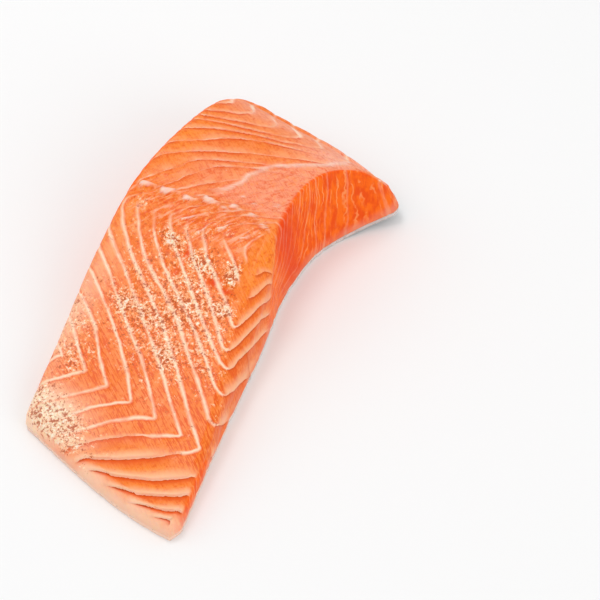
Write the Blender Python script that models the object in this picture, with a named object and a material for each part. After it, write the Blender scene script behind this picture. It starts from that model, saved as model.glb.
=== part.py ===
"""A skin-on salmon fillet portion, flesh side up: one solid of flesh on one sheet of skin.

+X runs along the fish, +Y from the belly flap to the back, and +Z up. The portion lies on the flat of its
skin. Its shape is a loft: a share from 0 at the belly edge to 1 at the back, and an across value from -1 at
the left cut to 1 at the right cut, are carried to the real outline. The columns of the loft follow the white
seams between the muscle flakes, so that each flake is a raised strip of the solid.
"""

import math
from collections import namedtuple

import bmesh
import bpy
import numpy as np
from mathutils import Matrix

MM = 0.001

# The outline and the height at stations from the belly edge to the back. share is the place along the loft,
# x and y the middle of the portion there, half_width its reach to each cut, slant the turn of that line in
# degrees, height the top of the flesh over the table, and lean how far the knife ran to the right from the top
# to the table. Lengths are in millimetres.
Station = namedtuple("Station", "share x y half_width slant height lean")
STATIONS = (
    Station(0.000, 3.5, -67.8, 31.6, -15.3, 6.0, 0.3),
    Station(0.170, -0.6, -43.6, 30.3, -11.3, 10.0, 0.3),
    Station(0.468, -6.9, -2.4, 28.8, -5.2, 20.0, 0.8),
    Station(0.640, -10.1, 22.1, 25.5, 0.0, 28.0, 2.6),
    Station(0.795, -9.2, 44.1, 24.0, 0.0, 29.8, 5.0),
    Station(0.905, -4.0, 59.1, 26.4, -2.5, 28.4, 5.0),
    Station(1.000, 5.6, 73.1, 29.8, -7.0, 26.0, 3.0),
)
LENGTH = (STATIONS[-1].y - STATIONS[0].y) * MM

# Edges and ends
BELLY_BULGE = 3.4 * MM  # how far the belly edge bows out at its middle
BELLY_BULGE_SHARE = 0.2
SHOULDER = 2.4 * MM  # radius where the top meets a cut
SHOULDER_STEPS = 3
SHOULDER_MOST = 0.55  # of the height that the edge has
CORNER = 2.6 * MM  # extra radius of the four corners in plan, over the shoulder's
BACK_ROUND_LEFT = 0.905  # share where the top starts to round over the back
BACK_ROUND_RIGHT = 0.815
BACK_DROP_LEFT = 16.0 * MM
BACK_DROP_RIGHT = 20.5 * MM
BACK_FULL = 0.985  # of the quarter ellipse that the round follows
CUT_WAVE = 0.35 * MM  # unevenness of the knife cuts
CUT_STEPS = 6

# Skin
SKIN = 1.2 * MM
GAP = 0.3 * MM
SKIN_LIFT = 5.0 * MM  # how far the skin curls up at the back
SKIN_LIFT_SHARE = 0.82

# Seams between the flakes: their run along the fish at places from belly to back, and their spacing, in
# millimetres. The run zigzags: it turns at the belly chevrons, below the line of pin bones and at the back.
SEAM_PLACES = (-77.0, -44.0, -2.0, 9.0, 16.0, 23.0, 65.0, 78.0)
SEAM_RUNS = (-17.0, 30.6, -24.0, -38.0, -38.0, -22.0, 58.0, 48.0)
PITCH_PLACES = (-68.0, -44.0, -29.0, 8.0, 43.0, 73.0)
PITCHES = (9.2, 10.0, 8.2, 8.0, 9.0, 8.5)
SEAM_SOFTNESS = 1.6  # half the length over which a turn is rounded
SEAM_TAPS = 5
FIRST_SEAM, LAST_SEAM = -12, 10
FLAKE_STEPS = (0.0, 0.16, 0.5, 0.88)  # columns across one flake
CREVICE_BELLY = 0.95 * MM  # depth of the crevices, which overlap like tiles in the belly flap
CREVICE_MIDDLE = 0.5 * MM
CREVICE_BACK = 0.65 * MM
CREVICE_FADE = 2.5 * MM  # the crevices run out over this distance from a cut
LEAST_STEP = 0.4 * MM  # a column nearer than this to a cut is held at the cut
TILED_BELOW = -48.0
TILED_BLEND = 8.0

# Rows of the loft, and how much closer they lie at both ends
ROWS = 80
ROW_CROWDING = 0.6

FLESH_COLOUR = (0.93, 0.30, 0.11, 1.0)
SKIN_COLOUR = (0.09, 0.09, 0.10, 1.0)


def through_stations(field, share):
    """A smooth curve through one field of the stations, read at share."""
    places = np.array([station.share for station in STATIONS])
    values = np.array([getattr(station, field) for station in STATIONS])
    steps = np.diff(places)
    slopes = np.diff(values) / steps
    tangents = np.empty(len(values))
    tangents[1:-1] = (slopes[:-1] * steps[1:] + slopes[1:] * steps[:-1]) / (steps[:-1] + steps[1:])
    tangents[0] = 1.5 * slopes[0] - 0.5 * tangents[1]
    tangents[-1] = 1.5 * slopes[-1] - 0.5 * tangents[-2]
    share = np.asarray(share, float)
    k = np.clip(np.searchsorted(places, share, side="right") - 1, 0, len(steps) - 1)
    t = (share - places[k]) / steps[k]
    start = (1 + 2 * t) * (1 - t) ** 2 * values[k] + t * (1 - t) ** 2 * steps[k] * tangents[k]
    end = t * t * (3 - 2 * t) * values[k + 1] + t * t * (t - 1) * steps[k] * tangents[k + 1]
    return start + end


def ramp(value, low, high):
    """0 below low and 1 above high, smooth between."""
    t = np.clip((np.asarray(value, float) - low) / (high - low), 0, 1)
    return t * t * (3 - 2 * t)


def outline(share, across):
    """The place in plan of a point of the loft, at the top of the flesh."""
    reach = across * through_stations("half_width", share) * MM
    turn = np.radians(through_stations("slant", share))
    near_belly = np.clip(1 - share / BELLY_BULGE_SHARE, 0, 1) ** 2
    bulge = BELLY_BULGE * near_belly * (1 - across**2) * (1 + 0.5 * across)
    x = through_stations("x", share) * MM + reach * np.cos(turn)
    y = through_stations("y", share) * MM + reach * np.sin(turn) - bulge
    return x, y


def top(share, across):
    """Height of the flesh before the flakes: a low flap, a thick loin and a rounded back."""
    side = (across + 1) / 2
    start = BACK_ROUND_LEFT + (BACK_ROUND_RIGHT - BACK_ROUND_LEFT) * side
    drop = BACK_DROP_LEFT + (BACK_DROP_RIGHT - BACK_DROP_LEFT) * side
    u = np.clip((share - start) / (1 - start), 0, 1) * BACK_FULL
    return through_stations("height", share) * MM - drop * (1 - np.sqrt(1 - u * u))


def underside(share):
    """Height of the skin's lower face: flat, then curling up at the back."""
    return SKIN_LIFT * np.clip((share - SKIN_LIFT_SHARE) / (1 - SKIN_LIFT_SHARE), 0, 1) ** 2


def seam_run(place):
    """How far along the fish a seam lies at a place from belly to back, its turns rounded."""
    taps = np.linspace(-SEAM_SOFTNESS, SEAM_SOFTNESS, SEAM_TAPS)
    return np.mean([np.interp(place + tap, SEAM_PLACES, SEAM_RUNS) for tap in taps], axis=0)


def seam_wander(place, seam):
    """The slow drift of each seam off its rule, in millimetres."""
    return 0.7 * np.sin(0.13 * place + 1.9 * seam) + 0.45 * np.sin(0.31 * place - 2.3 * seam + 1.0)


def seam_across(share, seam):
    """The across value where a seam, or a line between two seams, lies at share."""
    place = through_stations("y", share)
    run = seam_run(place) + seam * np.interp(place, PITCH_PLACES, PITCHES) + seam_wander(place, seam)
    return (run - through_stations("x", share)) / through_stations("half_width", share)


def flake(share, seam):
    """Height of a flake over its crevices, at most 0: tiles in the belly flap, pillows elsewhere."""
    place = through_stations("y", share)
    part = seam - np.floor(seam)
    tiled = 1 - ramp(place, TILED_BELOW, TILED_BELOW + TILED_BLEND)
    pillow = CREVICE_MIDDLE + (CREVICE_BACK - CREVICE_MIDDLE) * ramp(place, 8.0, 28.0)
    tile_shape = -CREVICE_BELLY * (1 - part) ** 1.4
    pillow_shape = -pillow * np.abs(2 * part - 1) ** 4
    return tiled * tile_shape + (1 - tiled) * pillow_shape


def row_shares():
    """The rows of the loft, closer together at the belly edge and over the back."""
    even = np.linspace(0, 1, ROWS)
    crowded = even - ROW_CROWDING * np.sin(2 * math.pi * even) / (2 * math.pi)
    first, last = SHOULDER / LENGTH, 1 - SHOULDER / LENGTH
    return first + (last - first) * crowded


def row_reach(share):
    """The across value of a row's ends, where the shoulders start. The corners are rounded."""
    from_end = (min(share, 1 - share) * LENGTH - SHOULDER) / CORNER
    corner = CORNER * (1 - math.sqrt(1 - min(1, max(0, 1 - from_end)) ** 2))
    return 1 - (SHOULDER + corner) / (float(through_stations("half_width", share)) * MM)


def flake_row(share):
    """Points along one row, where the seam columns cross it. A column beyond a cut is held at the cut."""
    seams = np.array([seam + step for seam in range(FIRST_SEAM, LAST_SEAM) for step in FLAKE_STEPS])
    shares = np.full(len(seams), share)
    reach = row_reach(share)
    across = np.clip(seam_across(shares, seams), -reach, reach)
    from_cut = (reach - np.abs(across)) * through_stations("half_width", shares) * MM
    across = np.where(from_cut < LEAST_STEP, np.sign(across) * reach, across)
    height = top(shares, across) + flake(shares, seams) * ramp(from_cut, -0.3 * CREVICE_FADE, CREVICE_FADE)
    x, y = outline(shares, across)
    return np.stack([x, y, height], axis=-1)


class Solid:
    """Points and faces of one piece."""

    def __init__(self):
        self.points = []
        self.faces = []

    def add(self, points):
        first = len(self.points)
        self.points += [tuple(float(value) for value in point) for point in points]
        return list(range(first, len(self.points)))

    def add_face(self, *corners):
        ring = list(dict.fromkeys(corners))
        if len(ring) > 2:
            self.faces.append(ring)

    def join(self, upper, lower):
        """A wall between two rings of equal count."""
        for i in range(len(upper)):
            j = (i + 1) % len(upper)
            self.add_face(upper[j], upper[i], lower[i], lower[j])

    def close(self, ring, belly, sides, upward):
        """Fills a ring by strips from the left cut to the right one. belly and sides count its points."""
        right = ring[belly : belly + sides]
        left = list(reversed(ring[-sides:]))
        back = ring[belly + sides : -sides]
        parts = [[left[0], *ring[:belly], right[0]], [right[-1], *back, left[-1]]]
        parts += [[left[i], right[i], right[i + 1], left[i + 1]] for i in range(sides - 1)]
        self.faces += parts if upward else [list(reversed(part)) for part in parts]

    def to_object(self, name, colour, roughness):
        mesh = bpy.data.meshes.new(name)
        bm = bmesh.new()
        vertices = [bm.verts.new(point) for point in self.points]
        for face in self.faces:
            bm.faces.new([vertices[index] for index in face])
        bmesh.ops.triangulate(bm, faces=bm.faces[:])
        bmesh.ops.recalc_face_normals(bm, faces=bm.faces[:])
        bm.to_mesh(mesh)
        bm.free()
        mesh.shade_smooth()
        mesh.set_sharp_from_angle(angle=math.radians(50))
        mesh.materials.append(finish_material(name, colour, roughness))
        obj = bpy.data.objects.new(name, mesh)
        bpy.context.scene.collection.objects.link(obj)


def finish_material(name, colour, roughness):
    material = bpy.data.materials.new(name)
    material.use_nodes = True
    shader = material.node_tree.nodes["Principled BSDF"]
    shader.inputs["Base Color"].default_value = colour
    shader.inputs["Roughness"].default_value = roughness
    shader.inputs["Metallic"].default_value = 0.0
    return material


def distinct(points):
    """Numbers the points of a row, with one number for points that a cut holds together."""
    numbers, kept = [], []
    for point in points:
        if not kept or abs(point[0] - kept[-1][0]) > 1e-6:
            kept.append(point)
        numbers.append(len(kept) - 1)
    return numbers, kept


def outward(ring):
    """Unit directions in plan that point out of a ring of points."""
    ahead, behind = np.roll(ring, -1, axis=0), np.roll(ring, 1, axis=0)
    way_on = (ahead - ring)[:, :2]
    way_in = (ring - behind)[:, :2]
    way_on /= np.linalg.norm(way_on, axis=1)[:, None]
    way_in /= np.linalg.norm(way_in, axis=1)[:, None]
    way = way_on + way_in
    way /= np.linalg.norm(way, axis=1)[:, None]
    return np.stack([way[:, 1], -way[:, 0]], axis=-1)


def cut_wave(share, side, depth):
    """The slight unevenness of a knife cut."""
    wave = np.sin(9 * share + 260 * depth) + 0.6 * np.sin(31 * share - 170 * depth + 2.0)
    return side * wave * CUT_WAVE


def build_flesh():
    """The flesh: flakes on top, a round shoulder, and cuts down to the skin. Returns its lower outline."""
    solid = Solid()
    shares = row_shares()
    rows = []
    for share in shares:
        numbers, kept = distinct(flake_row(float(share)))
        indices = solid.add(kept)
        rows.append([indices[number] for number in numbers])
    for low, high in zip(rows, rows[1:]):
        for j in range(len(low) - 1):
            solid.add_face(low[j], low[j + 1], high[j + 1], high[j])

    belly, back = list(dict.fromkeys(rows[0])), list(dict.fromkeys(rows[-1]))
    sides = len(rows) - 2
    ring = belly + [row[-1] for row in rows[1:-1]] + back[::-1] + [row[0] for row in rows[-2:0:-1]]
    count_belly, count_back = len(belly), len(back)
    share = np.concatenate([np.zeros(count_belly), shares[1:-1], np.ones(count_back), shares[-2:0:-1]])
    side = np.concatenate([np.zeros(count_belly), np.ones(sides), np.zeros(count_back), -np.ones(sides)])
    edge = np.array([solid.points[index] for index in ring])
    way = outward(edge)
    floor = underside(share) + SKIN + GAP
    fall = np.minimum(SHOULDER, SHOULDER_MOST * (edge[:, 2] - floor))

    for step in range(1, SHOULDER_STEPS + 1):
        angle = 0.5 * math.pi * step / SHOULDER_STEPS
        plan = edge[:, :2] + way * SHOULDER * math.sin(angle)
        height = edge[:, 2] - fall * (1 - math.cos(angle))
        new = solid.add(np.column_stack([plan, height]))
        solid.join(ring, new)
        ring = new

    lean = through_stations("lean", share) * MM
    for step in range(1, CUT_STEPS + 1):
        part = step / CUT_STEPS
        level = height + (floor - height) * part
        wave = cut_wave(share, side, height - level) * math.sin(math.pi * part)
        new = solid.add(np.column_stack([plan[:, 0] + lean * part + wave, plan[:, 1], level]))
        solid.join(ring, new)
        ring = new
    solid.close(ring, count_belly, sides, upward=False)
    solid.to_object("flesh", FLESH_COLOUR, 0.3)
    return np.array([solid.points[index] for index in ring]), count_belly, sides


def build_skin(outline_above, belly, sides):
    """The skin: a thin sheet of the flesh's lower outline, flush with all its cuts."""
    solid = Solid()
    upper = solid.add(outline_above - (0, 0, GAP))
    lower = solid.add(outline_above - (0, 0, GAP + SKIN))
    solid.join(upper, lower)
    solid.close(upper, belly, sides, upward=True)
    solid.close(lower, belly, sides, upward=False)
    solid.to_object("skin", SKIN_COLOUR, 0.35)


def centre_on_origin():
    """Puts the middle of the portion's box over the origin."""
    meshes = [obj.data for obj in bpy.data.objects]
    points = np.array([vertex.co for mesh in meshes for vertex in mesh.vertices])
    middle = (points.min(axis=0) + points.max(axis=0)) / 2
    for mesh in meshes:
        mesh.transform(Matrix.Translation((-middle[0], -middle[1], 0.0)))


def main():
    for obj in list(bpy.data.objects):
        bpy.data.objects.remove(obj)
    lower_outline, belly, sides = build_flesh()
    build_skin(lower_outline, belly, sides)
    centre_on_origin()


main()
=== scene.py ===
"""The looks of a skin-on salmon fillet portion: moist flaked flesh on a sheet of scaled skin.

+X runs along the fish, +Y from the belly flap to the back, and +Z up. Both pieces are lofts on the outline
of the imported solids. A row of a loft runs from the left cut to the right cut, where across is -1 and 1, and
share tells the rows apart, from 0 at the belly edge to 1 at the back. A level counts the white seams between
the flakes: it is a whole number on a seam, and its lines run over the shoulders and down the cuts, as the
sheets between real flakes do. A place is a row's Y at its middle, and a run is a distance along the fish.
"""

import functools
import math
from collections import namedtuple

import bpy
import numpy as np
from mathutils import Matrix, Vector


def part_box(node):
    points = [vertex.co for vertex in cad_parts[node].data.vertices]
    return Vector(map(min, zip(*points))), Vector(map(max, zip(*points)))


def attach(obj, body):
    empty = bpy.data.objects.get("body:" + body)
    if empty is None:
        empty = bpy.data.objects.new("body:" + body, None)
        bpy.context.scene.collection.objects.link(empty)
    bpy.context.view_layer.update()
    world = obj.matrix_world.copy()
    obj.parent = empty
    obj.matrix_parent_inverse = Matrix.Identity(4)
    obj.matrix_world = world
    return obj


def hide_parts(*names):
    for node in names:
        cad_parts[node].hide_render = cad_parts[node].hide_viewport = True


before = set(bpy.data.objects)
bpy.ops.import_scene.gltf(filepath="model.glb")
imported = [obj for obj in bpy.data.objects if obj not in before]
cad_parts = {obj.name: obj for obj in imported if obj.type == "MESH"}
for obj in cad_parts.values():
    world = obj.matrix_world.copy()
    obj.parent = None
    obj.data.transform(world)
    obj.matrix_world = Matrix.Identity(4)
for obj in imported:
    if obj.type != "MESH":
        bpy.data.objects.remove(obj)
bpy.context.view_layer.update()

MM = 0.001

# The outline and the height at stations from the belly edge to the back, as the solids have them: share
# along the loft, the middle x and y, half_width to each cut, slant of the row in degrees, height of the top,
# and lean of the knife to the right from the top to the table. Lengths are in millimetres.
Station = namedtuple("Station", "share x y half_width slant height lean")
STATIONS = (
    Station(0.000, 3.5, -67.8, 31.6, -15.3, 6.0, 0.3),
    Station(0.170, -0.6, -43.6, 30.3, -11.3, 10.0, 0.3),
    Station(0.468, -6.9, -2.4, 28.8, -5.2, 20.0, 0.8),
    Station(0.640, -10.1, 22.1, 25.5, 0.0, 28.0, 2.6),
    Station(0.795, -9.2, 44.1, 24.0, 0.0, 29.8, 5.0),
    Station(0.905, -4.0, 59.1, 26.4, -2.5, 28.4, 5.0),
    Station(1.000, 5.6, 73.1, 29.8, -7.0, 26.0, 3.0),
)
LENGTH = STATIONS[-1].y - STATIONS[0].y
OUTLINE_MIDDLE = (-0.69, -0.1)  # of the solids, where the stations measure from

# Edges and ends, in millimetres
BELLY_BULGE, BELLY_BULGE_SHARE, BELLY_BULGE_SKEW = 3.4, 0.2, 0.5
# The rounded edge round the top: its width, and the most it may fall, as a share of the flesh's height
SHOULDER, SHOULDER_MOST = 2.4, 0.55
BELLY_SHOULDER, BELLY_SHOULDER_MOST, BELLY_SHOULDER_END = 4.4, 0.85, 16.0
LEFT_SHOULDER_PLACES, LEFT_SHOULDERS = (-68.0, -60.0, -50.0), (4.4, 3.2, 2.4)
RIGHT_SHOULDER_PLACES = (-68.0, -60.0, -48.0, -38.0, -30.0, -20.0, -12.0, -4.0, 4.0, 14.0, 24.0, 36.0)
RIGHT_SHOULDERS = (4.4, 2.0, 2.4, 2.8, 3.6, 6.0, 7.6, 7.0, 5.6, 4.4, 3.2, 1.6)  # wide beside the arms
BELLY_CORNER, BACK_CORNER = 0.3, 3.5  # radii in plan
CORNER_PUSH_LEAST = 0.34  # keeps an edge that turns sharply from being pushed out too far
# The round of the back starts at these shares and falls by these drops, at the left cut and the right one
BACK_ROUND_LEFT, BACK_ROUND_RIGHT = 0.905, 0.815
BACK_DROP_LEFT, BACK_DROP_RIGHT = 16.0, 20.5
BACK_FULL = 0.985  # share of a quarter round that the back goes through
CORNER_DROP = 6.0  # of the top at the corner of the back and the right cut
CORNER_DROP_SHARES, CORNER_DROP_ACROSS = (0.92, 1.03), (0.1, 1.0)
# The knife's way through the flesh waves by this much, by turns for each share and each millimetre down
CUT_WAVE, WAVE_LONG, WAVE_SHORT, WAVE_SHORT_SIZE = 0.35, (9, 0.26), (31, -0.17), 0.6
SKIN, GAP = 1.45, 0.05
SKIN_LIFT, SKIN_LIFT_SHARE = 5.0, 0.82  # how far the skin curls up at the back, and from which share

# Seams, in millimetres: their run along the fish at places from belly to back, and their spacing
SEAM_PLACES = (-77.0, -43.5, -2.0, 7.0, 13.5, 22.0, 65.0, 78.0)
SEAM_RUNS = (-17.0, 30.9, -24.0, -35.5, -38.5, -29.5, 58.0, 48.0)
PITCH_PLACES = (-68.0, -44.0, -29.0, 8.0, 43.0, 73.0)
PITCHES = (9.2, 10.0, 8.2, 8.0, 9.0, 8.5)
SOFT_PLACES, SOFTNESS, SEAM_TAPS = (-30.0, 2.0), (0.4, 2.2), 5  # the reach that rounds their turns
TRACE_SOFTNESS = (0.4, 3.0)  # the same where they are set against the traces
SEAM_DIP_PLACES = (-42.0, -2.0, 14.0, 30.0, 45.0, 62.0)
SEAM_DIPS = (0.4, 0.6, 2.2, 1.2, 0.7, 0.3)  # run along the fish for each millimetre under the top
# The sheets turn back on the flank beside the arms and lie in planes there. FLANK_RUNS are the places of
# the planes of FLANK_LEVELS along their common way
FLANK_WAY = (0.879, -0.146, -0.455)
FLANK_RUNS = (-0.9, 2.8, 6.2, 9.5, 12.8, 16.4, 22.0, 26.8, 31.5, 36.0)
FLANK_LEVELS = (8.0, 7.0, 6.0, 5.0, 4.0, 3.0, 2.0, 1.0, 0.0, -1.0)
FLANK_SPAN = ((-47.0, -41.0), (19.0, 9.0))  # places where they start and end to do so
FLANK_AWAY = 5  # levels that the planes stand off where the sheets don't turn
FLANK_SOFT, FLANK_RAG = 0.26, 0.16  # in levels: how softly the sheets turn, and how unevenly they lie
# Traced seams, a run of points for each level: in pixels of the photograph up to the loin, and in
# plan over the loin, in millimetres
SEAMS_ON_PHOTO = {
    -5: ((60.8, 376.2), (73.1, 373.1), (83.8, 367.3), (79.2, 358.5), (74.6, 340), (68.5, 321.5)),
    -4: (
        (68.5, 393.8), (82.3, 390.8), (97.7, 386.9), (108.5, 383.4), (100.8, 378.5), (98.5, 364.6),
        (97.7, 346.2), (93.8, 326.2), (83.8, 304.6), (77.7, 292.3),
    ),
    -3: (
        (76.2, 412.3), (91.5, 406.2), (106.9, 403.1), (129.5, 398.8), (126.2, 390.8), (125.4, 367.7),
        (120.8, 349.2), (114.6, 332.3), (106.9, 310.8), (96.2, 287.7), (89.2, 264.6),
    ),
    -2: (
        (75.7, 431.4), (91.4, 424.3), (111.4, 420), (134.3, 416.4), (155, 414.3), (148.5, 396.9),
        (144.6, 375.4), (137.7, 356.9), (131.5, 336.9), (125.4, 318.5), (116.2, 300), (110, 278.5),
        (102.3, 260),
    ),
    -1: (
        (67.1, 445.7), (77.1, 442.1), (91.4, 439.3), (112.9, 436.4), (134.3, 434.3), (155.7, 433.6),
        (179.3, 435), (174.6, 420), (168.5, 398.5), (160.8, 375.4), (153.8, 352.3), (146.9, 332.3),
        (140, 313.8), (133.1, 295.4), (125.4, 275.4), (118.5, 260),
    ),
    0: (
        (74.3, 461.4), (84.3, 457.1), (98.6, 456.4), (120, 456.4), (141.4, 455.7), (162.9, 455),
        (184.3, 455), (203.6, 455), (195.7, 434.3), (190, 417), (183.8, 398.5), (177.7, 380), (171.5, 355.4),
        (165.4, 335.4), (157.7, 316.9), (149.2, 300), (140.8, 280), (132.3, 260), (127.1, 245), (124.3, 235),
        (122.9, 223.6),
    ),
    1: (
        (93, 470), (107, 472), (120, 475), (135, 477), (150, 478.5), (170, 478), (190, 476), (205, 475),
        (206.9, 418.5), (200.8, 398.5), (194.6, 376.9), (188.5, 358.5), (181.5, 335.4), (173.1, 313.8),
        (163.8, 296.9), (153.1, 278.5), (145.4, 260), (141.5, 245), (139.5, 232.1), (137.9, 220.7),
        (137.1, 209.3), (137, 203), (142, 198), (153, 196),
    ),
    2: (
        (117, 487), (130, 491), (149, 494), (170, 495), (194, 493), (213.1, 387.7), (206.9, 364.6),
        (199.2, 346.2), (193.1, 329.2), (185.4, 312.3), (176.2, 293.8), (166.9, 283.1), (162, 265),
        (158, 243.6), (154.3, 233.6), (152.9, 223.6), (153.3, 213.3), (157, 207), (167, 204), (180, 199),
    ),
    3: (
        (131, 504), (140, 505.5), (156, 507), (170, 509), (184, 510), (218.5, 361.5), (211.5, 346.2),
        (203.8, 329.2), (196.2, 310.8), (183.8, 275.4), (174, 245), (170, 228), (172, 214), (181, 207),
        (194, 204),
    ),
    4: (
        (140, 511), (156, 519), (170, 519.5), (178, 520), (220.8, 343.1), (213.1, 327.7), (206.9, 298.5),
        (196, 262), (186, 236), (183, 226), (190, 215), (224, 212),
    ),
    5: ((230, 327.7), (225.4, 310.8), (214, 275), (203, 245), (202, 232), (207, 224), (219, 216)),
    6: ((243.8, 301.5), (240.8, 283.1), (236, 262), (224, 245), (224, 232), (231, 226), (243, 222)),
    7: ((243, 246), (247, 240), (253, 236), (267, 235)),
}
SEAMS_IN_PLAN = {
    -7: ((-33, 55.5), (-26.5, 58), (-19.1, 61), (-12.9, 65.7)),
    -6: ((-33, 53.5), (-25.1, 55), (-14, 58.3), (-4.5, 64.7)),
    -5: ((-33, 50.5), (-26.6, 53.2), (-15.6, 54.8), (-6.1, 56.5), (3.5, 64.2)),
    -4: ((-33, 44.5), (-30.7, 47), (-22.3, 51), (-17.1, 52.2), (-8.7, 54.6), (4.2, 58.1), (11.6, 63)),
    -3: ((-33, 38.5), (-25.6, 42.8), (-16.5, 49.6), (-9.9, 52.2), (-0.4, 53.4), (7.7, 56.7)),
    -2: ((-31.5, 34), (-23.7, 37.9), (-19.8, 40.1), (-13.8, 44.8), (-8.9, 46), (-1.9, 47), (6, 51)),
    -1: ((-27, 27), (-24.6, 30.9), (-19.7, 37.5), (-11.8, 39.2), (-5.9, 42.2), (-0.6, 43.2)),
    0: ((-24, 23.5), (-20.1, 28.5), (-18.4, 34.1), (-11.7, 38), (-3, 41)),
}
PHOTO_SIZE, PHOTO_AIM = 600.0, (23.0, 22.1, 0.0)  # in pixels, and what its middle shows of the portion
TRACE_ROWS, TRACE_COLUMNS = (0.002, 0.998, 1000), (-1.02, 1.02, 500)  # of points that a trace may lie at
# The seams' shifts off their rule are worked out from the traces for these places and levels. They change
# slowly along each seam and from seam to seam, and fade out where nothing is traced
SHIFT_PLACES = (-67, -63, -58, -52, -46, -43, -37, -27, -14, -2, 9, 14, 18, 22, 29, 35, 40, 45, 51, 57, 66)
SHIFT_LEVELS = (-7, 7)
STIFF_ALONG, STIFF_ACROSS, FADE = 1.05, 0.22, 0.03
# Then changed in the belly flap's right corner: a place, and the changes at levels 0 and 1
SHIFT_CHANGES = ((-52, -0.2, -0.1), (-46, -1.7, -0.2), (-43, -2.5, -1.1), (-37, -0.7, -0.3))
CREST_PLACES, CREST_TURN = (62.0, 65.0), (0.0, -8.4)  # over the crest the seams turn sooner than traced
FIRST_SEAM, LAST_SEAM = -12, 10
# How far the seams wander off all this: slowly, finely, along the torn line of pin bones, and in the loin
WANDER_SLOW, WANDER_FINE, WANDER_TORN, WANDER_LOIN = 0.22, 0.3, 0.7, 1.5
TEAR_PLACE, TEAR_REACH, WANDER_LOIN_PLACES = 15.0, 8.0, (22.0, 32.0)
LEVEL_STEP = 0.125  # between the levels at which the seams are worked out

# Where the flakes overlap like tiles: places, and the levels from which the belly flap has them
TILED_PLACES, TILED_LEVELS = (-46.0, -55.0), (-1.7, -0.1)
LOIN_SPAN, LOIN_TILING = ((22.0, 30.0), (66.0, 58.0)), 0.4
RIM = (0.6, 2.8)  # the smooth rim of fat along the belly edge, from that edge

# Relief of the flesh, in millimetres
TILE_STEP, FLANK_STEP = 0.95, 0.38
TILE_CURVE = 1.4
TILE_LIP = 0.07  # share of a tile that its lip rounds over
PILLOW = 0.3
RIDGE, RIDGE_WIDTH = 0.26, 0.45  # the seams of the arms stand proud of the flakes
RIDGE_PLACES = (24.0, 12.0)
DRIFT = 0.22  # slow unevenness of the whole top
RAG = 0.1  # fine unevenness
RAG_TORN = 0.4  # where the flesh tore along the line of pin bones
GRAIN = 0.14  # the coarse grain of the moist patches
SEAM_ON_CUT, SEAM_ON_CUT_WIDTH, CUT_RAG = 0.16, 0.5, 0.1
# Where the look of the cut starts, from 0 at the top to 1 at the shoulder's foot and 2 at the skin: by the
# place, and later at the back and beside the arms. Then over how much it blends in
CUT_PLACES, CUT_STARTS = (0.0, 26.0), (0.45, 0.1)
CUT_LATER, CUT_BLEND, BESIDE_SPAN = 1.1, 0.5, ((-47.0, -41.0), (26.0, 0.0))
CUT_LINES_PLACES = (-56.0, -40.0)  # the seams' fat shows on the cuts from there on
UNDER_REACH, UNDER_BESIDE, UNDER_FULL = 4.0, 5.0, 0.3  # heights of the pink fat over the skin

# Places in plan, in millimetres. The torn edge of the loin's outer layer runs up to the crest
TORN_EDGE_X = (-12.0, -7.1, -3.8, -3.6, -0.6, 4.3, 10.2, 15.3, 19.1)
TORN_EDGE_Y = (26.5, 29.4, 33.5, 36.5, 42.2, 46.0, 49.8, 54.0, 59.6)
TORN_STEP = 0.75
TORN_STEP_SPAN = ((24.0, 27.0), (66.0, 56.0))
TORN_EDGE_SPAN = ((26.0, 30.0), (63.0, 58.0))  # of its pale fat
SHEET_SPAN = ((24.5, 28.0), (62.0, 56.0))  # of the smooth sheet beyond it
# Where the seams fade in the loin, and where they break into creases
FADED_PLACES, CREASED_SPAN = (18.0, 30.0), ((12.0, 18.0), (42.0, 32.0))
# Flaps torn up along the line of pin bones: both ends, width and height. Each tapers to its second end
FLAPS = (
    (-33.0, 20.6, -26.4, 21.5, 1.5, 1.0),
    (-25.6, 20.9, -19.0, 22.2, 1.7, 1.1),
    (-17.8, 21.4, -12.4, 22.0, 1.3, 0.85),
    (-11.8, 23.9, -5.0, 22.9, 1.6, 1.0),
    (-4.9, 23.2, -2.6, 23.0, 1, 0.55),
    (-2.9, 24.8, 1.4, 24.4, 1.4, 0.88),
    (3.8, 24.3, 8.0, 23.2, 1.2, 0.77),
    (8.6, 22.6, 13.6, 20.6, 0.7, 0.55),
    (-8.0, 12.0, -5.2, 17.0, 0.5, 0.33),
    (-15.0, 14.5, -9.0, 18.6, 0.5, 0.33),
    (-2.5, 15.6, 1.2, 19.4, 0.6, 0.39),
    (5.4, 15.4, 8.0, 18.4, 0.6, 0.39),
    (-1.6, 29.5, -0.6, 29.6, 0.7, 0.55),
    (2.8, 28.7, 3.8, 28.8, 0.7, 0.55),
    (9.6, 31.2, 10.8, 31.3, 1.2, 0.55),
)
NOTCH = (-33.6, 18.8, 1.5, 2.0, 1.5)  # the hollow where the first pin bone sat: middle, reach and depth
HOLLOW_BEHIND, HOLLOW = 1.2, 0.9  # the hollow on the belly side of a flap, as shares of width and height
FLAP_RAG = 0.45  # of a flap's edge, as a share of its width
LOBE = (15.0, 12.0, 4.3, 14.0)  # middle and reach of the smooth lobe beside the right cut
LOBE_HEIGHT = 1.1

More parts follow.
